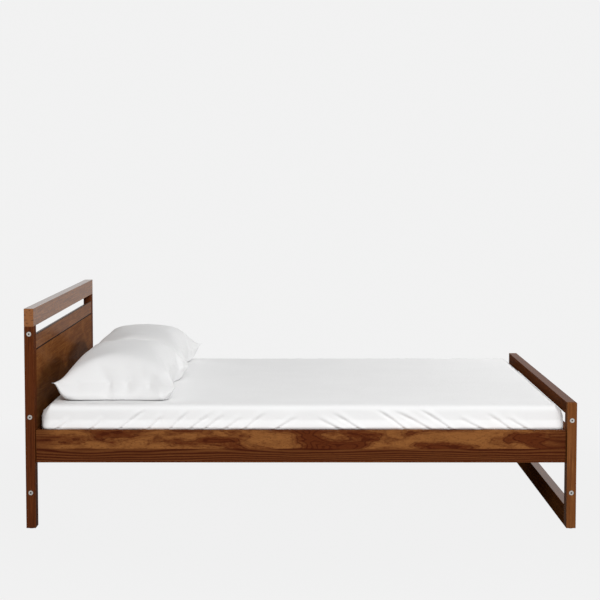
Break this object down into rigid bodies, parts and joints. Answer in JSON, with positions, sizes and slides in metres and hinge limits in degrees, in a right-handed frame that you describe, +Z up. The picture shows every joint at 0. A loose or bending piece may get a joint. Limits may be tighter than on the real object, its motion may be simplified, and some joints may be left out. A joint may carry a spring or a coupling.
{
  "type": "platform bed",
  "caption": "Low wooden platform bed with a slotted headboard, open foot frame, slatted base, mattress, fitted sheet and pillows.",
  "frame": {"origin": "on the floor, under the middle of the bed", "axes": "+X from the head to the foot, +Y towards the right-hand side as seen from the foot facing the head, +Z up"},
  "size_m": [2.08, 1.74, 0.836],
  "materials": {
    "walnut": "satin",
    "pine": "matte",
    "bracket_steel": "satin",
    "screw_steel": "satin",
    "bolt_steel": "satin",
    "glide_plastic": "matte",
    "ticking": "matte",
    "cotton": "matte",
    "pillow_ticking": "matte"
  },
  "bodies": {
    "frame": {"head_post_outer_left": "walnut", "head_post_outer_right": "walnut", "head_post_inner_left": "walnut", "head_post_inner_right": "walnut", "head_top_rail": "walnut", "headboard_slat": "walnut", "headboard_panel": "walnut", "head_cross_rail": "walnut", "foot_leg_outer_left": "walnut", "foot_leg_outer_right": "walnut", "foot_leg_inner_left": "walnut", "foot_leg_inner_right": "walnut", "foot_top_rail": "walnut", "foot_end_rail": "walnut", "foot_bottom_rail": "walnut", "side_rail_left": "walnut", "side_rail_right": "walnut", "slat_ledger_left": "pine", "slat_ledger_right": "pine", "centre_beam": "pine", "slat_01": "pine", "slat_02": "pine", "slat_03": "pine", "slat_04": "pine", "slat_05": "pine", "slat_06": "pine", "slat_07": "pine", "slat_08": "pine", "slat_09": "pine", "slat_10": "pine", "slat_11": "pine", "slat_12": "pine", "slat_13": "pine", "slat_14": "pine", "slat_15": "pine", "corner_bracket_head_left": "bracket_steel", "corner_bracket_head_right": "bracket_steel", "corner_bracket_foot_left": "bracket_steel", "corner_bracket_foot_right": "bracket_steel", "beam_hanger_head": "bracket_steel", "beam_hanger_foot": "bracket_steel", "bracket_screws": "screw_steel", "ledger_screws": "screw_steel", "slat_screws": "screw_steel", "leg_bolts": "bolt_steel", "threaded_inserts": "screw_steel", "dowels": "pine", "floor_glides": "glide_plastic"},
    "mattress": {"mattress": "ticking", "fitted_sheet": "cotton"},
    "pillow_left": {"pillow_left": "pillow_ticking", "pillowcase_left": "cotton"},
    "pillow_right": {"pillow_right": "pillow_ticking", "pillowcase_right": "cotton"}
  },
  "joints": [
    {"name": "mattress_lift", "type": "slide", "parent": "frame", "child": "mattress", "axis": [0, 0, 1], "range_m": [0, 0.55]},
    {"name": "pillow_left_lift", "type": "slide", "parent": "mattress", "child": "pillow_left", "axis": [0, 0, 1], "range_m": [0, 0.3]},
    {"name": "pillow_right_lift", "type": "slide", "parent": "mattress", "child": "pillow_right", "axis": [0, 0, 1], "range_m": [0, 0.3]}
  ]
}
